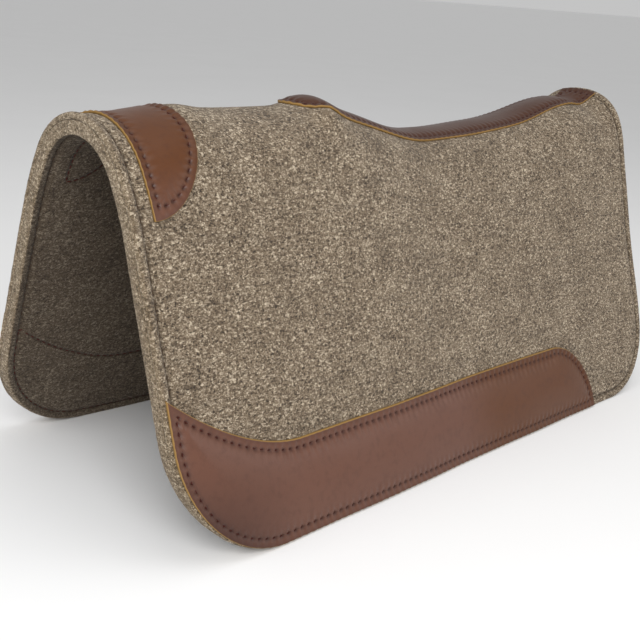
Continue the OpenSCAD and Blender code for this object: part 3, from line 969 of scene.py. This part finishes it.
def laid_stitches(points, up, count, finish, dive):
    """The mesh of one run of stitches."""
    line = thread_line("line", points, up)
    modifier = line.modifiers.new("stitches", "NODES")
    modifier.node_group = stitches_on_a_line
    wanted = {"Stitches": count, "Stitch Length": STITCH_LENGTH, "Thread": THREAD,
              "Dive": dive, "Finish": finish}
    for item in stitches_on_a_line.interface.items_tree:
        if item.in_out == "INPUT" and item.name in wanted:
            modifier[item.identifier] = wanted[item.name]
    bpy.context.view_layer.update()
    seen = line.evaluated_get(bpy.context.evaluated_depsgraph_get())
    mesh = bpy.data.meshes.new_from_object(seen)
    bpy.data.objects.remove(line)
    return mesh


def sewn(node, runs, finish, slot_name):
    """One piece with the stitches of every run, in place of its CAD node."""
    meshes = [laid_stitches(*run, finish, dive) for run, dive in runs]
    piece = bpy.data.objects.new(node + "_sewn", meshes[0])
    bpy.context.scene.collection.objects.link(piece)
    if len(meshes) > 1:
        extra = [bpy.data.objects.new("run", mesh) for mesh in meshes[1:]]
        for run in extra:
            bpy.context.scene.collection.objects.link(run)
        with bpy.context.temp_override(
            active_object=piece, selected_editable_objects=[piece, *extra]
        ):
            bpy.ops.object.join()
    seat_piece(piece, node)


def on_face(line, depth, outwards):
    """Points of a seam at that depth, with the direction that faces out of the work."""
    y, girth = np.asarray(line).T
    here = skin(y, girth, depth)
    up = skin(y, girth, depth - 0.001) - here
    return here, outwards * up / np.linalg.norm(up, axis=1)[:, None]


def felt_sink(line):
    """How deep the edge seam's groove is under each point of a line."""
    loop = felt_border()[0]
    y, girth = np.asarray(line).T
    return edge_groove(nearest_on(np.concatenate([loop, loop[:1]]), y, girth)[0])


# ---------------------------------------------------------------- building the pad
wear_seams = {"left": wear_seam(1), "right": wear_seam(-1)}
inside_seams = [strip_seam(), wither_seam(), *wear_seams.values()]

base_felt = felt_layer(
    "base_felt_pressed", TOP_THICKNESS + GLUE_GAP, FELT_THICKNESS, False, True, inside_seams
)
top_felt = felt_layer("top_felt_pressed", 0.0, TOP_THICKNESS, True, False)
for felt, node in ((base_felt, "base_felt"), (top_felt, "top_felt")):
    seat_piece(felt, node)

patches = {
    "wither_leather": wither_patch("wither_leather_sewn"),
    "spine_leather": spine_strip("spine_leather_sewn"),
    "left_wear_leather": wear_patch("left_wear_leather_sewn", 1),
    "right_wear_leather": wear_patch("right_wear_leather_sewn", -1),
}
for node, (patch, area) in patches.items():
    seat_piece(patch, node)

STITCH_DIVE = 0.0007
EDGE_DIVE = 0.0005
FELT_PROUD = 0.0001
LEATHER_PROUD = 0.0002
SEAM_SHARE = 0.9  # a needle thread lies this far down in its seam's pinch
SEAM_BOTTOM = LEATHER_SEAT + LEATHER_THICKNESS - (PINCH_DEPTH + PULL_DEPTH) * SEAM_SHARE
ON_LEATHER = -(SEAM_BOTTOM + LEATHER_PROUD)
UNDER_FELT = FELT_THICKNESS + FELT_PROUD


def needle_run(line):
    """Thread on top of a leather seam."""
    return (*on_face(line, ON_LEATHER, 1), stitch_count(line)), STITCH_DIVE


def bobbin_run(line, pitch=STITCH_PITCH, dive=STITCH_DIVE):
    """Thread under the felt, down in the edge groove where that runs."""
    depth = UNDER_FELT - felt_sink(line)
    return (*on_face(line, depth, -1), stitch_count(line, pitch)), dive


def edge_needle_run(line):
    depth = felt_sink(line) - FELT_PROUD
    return (*on_face(line, depth, 1), stitch_count(line, EDGE_STITCH_PITCH)), EDGE_DIVE


edge_seams = [wither_edge_seam(), loin_edge_seam(1), loin_edge_seam(-1)]
sewn("edge_needle_thread", [edge_needle_run(line) for line in edge_seams],
     edge_thread, "edge_thread")
sewn("edge_bobbin_thread",
     [bobbin_run(line, EDGE_STITCH_PITCH, EDGE_DIVE) for line in edge_seams],
     edge_thread, "edge_thread")
leather_seams = {"wither": wither_seam(), "spine": strip_seam(),
                 "left_wear": wear_seams["left"], "right_wear": wear_seams["right"]}
for place, line in leather_seams.items():
    sewn(place + "_needle_thread", [needle_run(line)], leather_thread, "leather_thread")
    sewn(place + "_bobbin_thread", [bobbin_run(line)], leather_thread, "leather_thread")


def dart_zigzag():
    """The dart's seam, one straight thread for each crossing of the slit."""
    start = DART_REACH + ZIGZAG_HALF
    end = STRIP_END - LEATHER_SEAM_INSET - ZIGZAG_HALF
    crossings = math.floor((end - start) / STITCH_PITCH)
    y = np.linspace(start, end, crossings + 1)
    girth = ZIGZAG_HALF * np.where(np.arange(crossings + 1) % 2 == 0, 1, -1)
    return np.stack([y, girth], axis=-1)


zigzag = dart_zigzag()
dart_run = (*on_face(zigzag, UNDER_FELT, -1), len(zigzag) - 1)
sewn("dart_seam_thread", [(dart_run, STITCH_DIVE)], leather_thread, "leather_thread")

# ---------------------------------------------------------------- floor, light and camera
FLOOR_HALF = 300
STUDIO_STRENGTH = 0.55

floor_mesh = bpy.data.meshes.new("floor")
floor_corners = [(FLOOR_HALF * x, FLOOR_HALF * y, 0) for x, y in ((-1, -1), (1, -1), (1, 1), (-1, 1))]
floor_mesh.from_pydata(floor_corners, [], [(0, 1, 2, 3)])
floor_mesh.materials.append(floor_finish)
floor = bpy.data.objects.new("floor", floor_mesh)
bpy.context.scene.collection.objects.link(floor)

world = bpy.data.worlds.new("studio")
world.use_nodes = True
world.node_tree.nodes["Background"].inputs["Color"].default_value = (1, 1, 1, 1)
world.node_tree.nodes["Background"].inputs["Strength"].default_value = STUDIO_STRENGTH
bpy.context.scene.world = world


def soft_light(name, place, target, size, power):
    lamp = bpy.data.lights.new(name, "AREA")
    lamp.size = size
    lamp.energy = power
    light = bpy.data.objects.new(name, lamp)
    light.location = place
    light.rotation_euler = (Vector(target) - Vector(place)).to_track_quat("-Z", "Y").to_euler()
    bpy.context.scene.collection.objects.link(light)


soft_light("key", (1.5, -1.25, 1.35), (0.1, 0, 0.15), 1.2, 31)
soft_light("sheen", (1.5, 1.3, 0.9), (0.15, 0, 0.1), 0.9, 5)
soft_light("front", (-0.2, -2.2, 1.3), (0, -0.1, 0.2), 1.2, 9)
soft_light("overhead", (0.5, -0.1, 2.4), (0, 0, 0.2), 1.4, 9)

CAMERA_PLACE = (0.7521, -0.8321, 0.4663)
CAMERA_TURN = math.radians(44.88)
CAMERA_DIP = math.radians(17.82)
CAMERA_ROLL = math.radians(4.42)
CAMERA_LENS = 57.4
SENSOR_WIDTH = 36


def aimed(place, turn, dip, roll):
    ahead = Vector((-math.sin(turn) * math.cos(dip), math.cos(turn) * math.cos(dip),
                    -math.sin(dip)))
    level = Vector((math.cos(turn), math.sin(turn), 0))
    above = level.cross(ahead)
    right = level * math.cos(roll) + above * math.sin(roll)
    up = above * math.cos(roll) - level * math.sin(roll)
    axes = Matrix((right, up, -ahead)).transposed().to_4x4()
    return Matrix.Translation(place) @ axes


camera_data = bpy.data.cameras.new("camera")
camera_data.lens = CAMERA_LENS
camera_data.sensor_width = SENSOR_WIDTH
camera = bpy.data.objects.new("camera", camera_data)
camera.matrix_world = aimed(CAMERA_PLACE, CAMERA_TURN, CAMERA_DIP, CAMERA_ROLL)
bpy.context.scene.collection.objects.link(camera)
bpy.context.scene.camera = camera
bpy.context.scene.view_settings.view_transform = "Standard"
